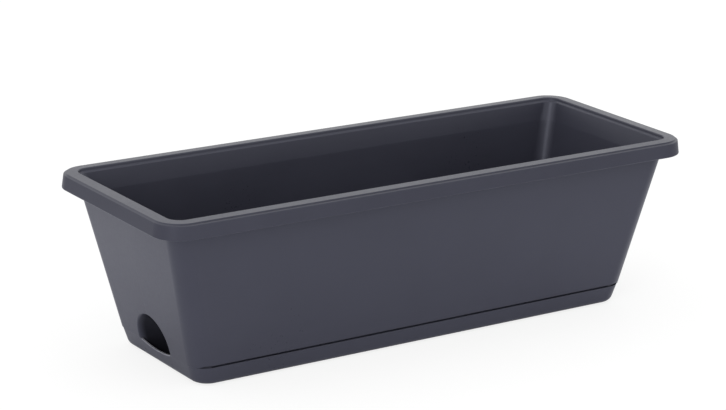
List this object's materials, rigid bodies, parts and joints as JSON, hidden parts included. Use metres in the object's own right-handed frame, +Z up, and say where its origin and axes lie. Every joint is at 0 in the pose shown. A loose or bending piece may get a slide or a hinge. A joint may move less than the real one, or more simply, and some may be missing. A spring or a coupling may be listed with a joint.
{
  "type": "self watering planter",
  "caption": "Long tapered window-box planter with a rolled rim, a clip-on water tray, a half-round filler mouth, and a perforated false floor with wick wells inside.",
  "frame": {"origin": "middle of the footprint, on the ground plane under the water tray", "axes": "+X along the planter's length with the filler mouth at the -X end, +Y across its width, +Z up"},
  "size_m": [0.502, 0.1886, 0.144],
  "materials": {
    "anthracite_shell": "satin moulded anthracite plastic with a fine spark texture",
    "anthracite_tray": "satin moulded anthracite plastic, the same as the trough",
    "charcoal_grate": "matte moulded black recycled plastic",
    "charcoal_well": "matte moulded black recycled plastic",
    "cotton_cord": "undyed braided cotton cord"
  },
  "bodies": {
    "tray": {"water_tray": "anthracite_tray"},
    "box": {"trough": "anthracite_shell"},
    "grate": {"separator_grate": "charcoal_grate"},
    "well_left": {"wick_well_left": "charcoal_well", "wick_left": "cotton_cord"},
    "well_centre": {"wick_well_centre": "charcoal_well", "wick_centre": "cotton_cord"},
    "well_right": {"wick_well_right": "charcoal_well", "wick_right": "cotton_cord"}
  },
  "joints": [
    {"name": "box_lift", "type": "slide", "parent": "tray", "child": "box", "axis": [0, 0, 1], "range_m": [0, 0.06]},
    {"name": "grate_lift", "type": "slide", "parent": "box", "child": "grate", "axis": [0, 0, 1], "range_m": [0, 0.14]},
    {"name": "well_left_lift", "type": "slide", "parent": "grate", "child": "well_left", "axis": [0, 0, 1], "range_m": [0, 0.045]},
    {"name": "well_centre_lift", "type": "slide", "parent": "grate", "child": "well_centre", "axis": [0, 0, 1], "range_m": [0, 0.045]},
    {"name": "well_right_lift", "type": "slide", "parent": "grate", "child": "well_right", "axis": [0, 0, 1], "range_m": [0, 0.045]}
  ]
}
